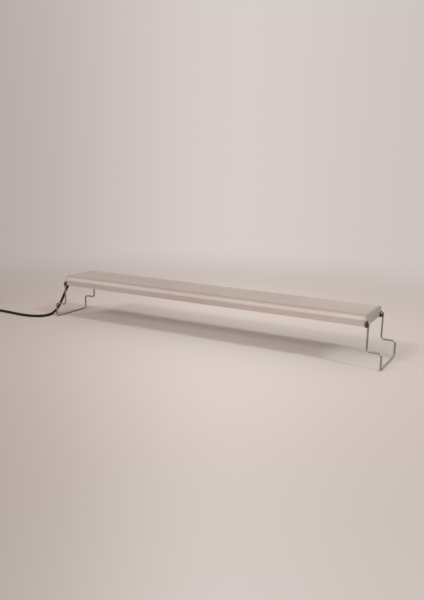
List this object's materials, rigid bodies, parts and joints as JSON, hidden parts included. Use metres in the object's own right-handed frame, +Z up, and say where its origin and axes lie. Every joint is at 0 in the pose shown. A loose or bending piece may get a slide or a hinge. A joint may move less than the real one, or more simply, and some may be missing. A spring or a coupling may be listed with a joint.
{
  "type": "led aquarium light",
  "caption": "Slim aluminium LED light bar for a fish tank, on bent wire stands that slide in nylon holders and hook over the tank's rim, with a thin cord that ends in a round power plug.",
  "frame": {"origin": "on the floor below the middle of the light bar, the cord left out", "axes": "+X along the bar to the end without the cord, +Y to the back, +Z up"},
  "size_m": [0.9255, 0.1301, 0.085],
  "materials": {
    "anodised_aluminium": "satin silver anodised extrusion",
    "anodised_cap": "satin silver anodised plate",
    "stainless_wire": "drawn stainless wire, half bright",
    "black_nylon": "moulded black nylon, fine grain",
    "clear_acrylic": "clear acrylic sheet",
    "black_rubber": "matt black rubber",
    "grey_seal": "matt grey silicone rubber",
    "thermal_silicone": "soft grey heat-conducting silicone",
    "white_board": "white solder mask on an aluminium core",
    "white_emitter": "yellow phosphor in a white case",
    "blue_emitter": "clear dome in a white case",
    "zinc_screw": "bright zinc plating",
    "terminal_nylon": "moulded green nylon",
    "wire_insulation": "black PVC insulation",
    "nickel_brass": "nickel-plated brass",
    "cord_pvc": "soft black PVC sheath",
    "plug_pvc": "moulded black PVC",
    "nickel_plating": "bright nickel plating",
    "plug_nylon": "natural nylon"
  },
  "bodies": {
    "light_bar": {"housing": "anodised_aluminium", "end_cap_right": "anodised_cap", "end_cap_left": "anodised_cap", "gasket_right": "grey_seal", "gasket_left": "grey_seal", "cap_screws_right": "zinc_screw", "cap_screws_left": "zinc_screw", "lens": "clear_acrylic", "lens_seal_front": "black_rubber", "lens_seal_rear": "black_rubber", "led_board_front": "white_board", "led_board_rear": "white_board", "thermal_pad_front": "thermal_silicone", "thermal_pad_rear": "thermal_silicone", "white_leds": "white_emitter", "blue_leds": "blue_emitter", "board_screws": "zinc_screw", "terminal_block": "terminal_nylon", "power_leads": "wire_insulation", "board_leads": "wire_insulation", "gland_body": "nickel_brass", "gland_seal": "black_rubber", "cord_clamp": "nickel_brass", "strain_relief": "black_rubber", "holder_right_front": "black_nylon", "holder_right_back": "black_nylon", "holder_left_front": "black_nylon", "holder_left_back": "black_nylon", "holder_screws_right": "zinc_screw", "holder_screws_left": "zinc_screw", "power_cord": "cord_pvc", "cord_coil": "cord_pvc", "cord_tail": "cord_pvc", "cord_tie": "wire_insulation", "plug_grip": "plug_pvc", "plug_barrel": "nickel_plating", "plug_insulator": "plug_nylon", "plug_contact": "nickel_plating"},
    "stand_right": {"stand_right": "stainless_wire"},
    "stand_left": {"stand_left": "stainless_wire"}
  },
  "joints": [
    {"name": "stand_right_slide", "type": "slide", "parent": "light_bar", "child": "stand_right", "axis": [0, 0, 1], "range_m": [0, 0.025]},
    {"name": "stand_left_slide", "type": "slide", "parent": "light_bar", "child": "stand_left", "axis": [0, 0, 1], "range_m": [0, 0.025]}
  ]
}
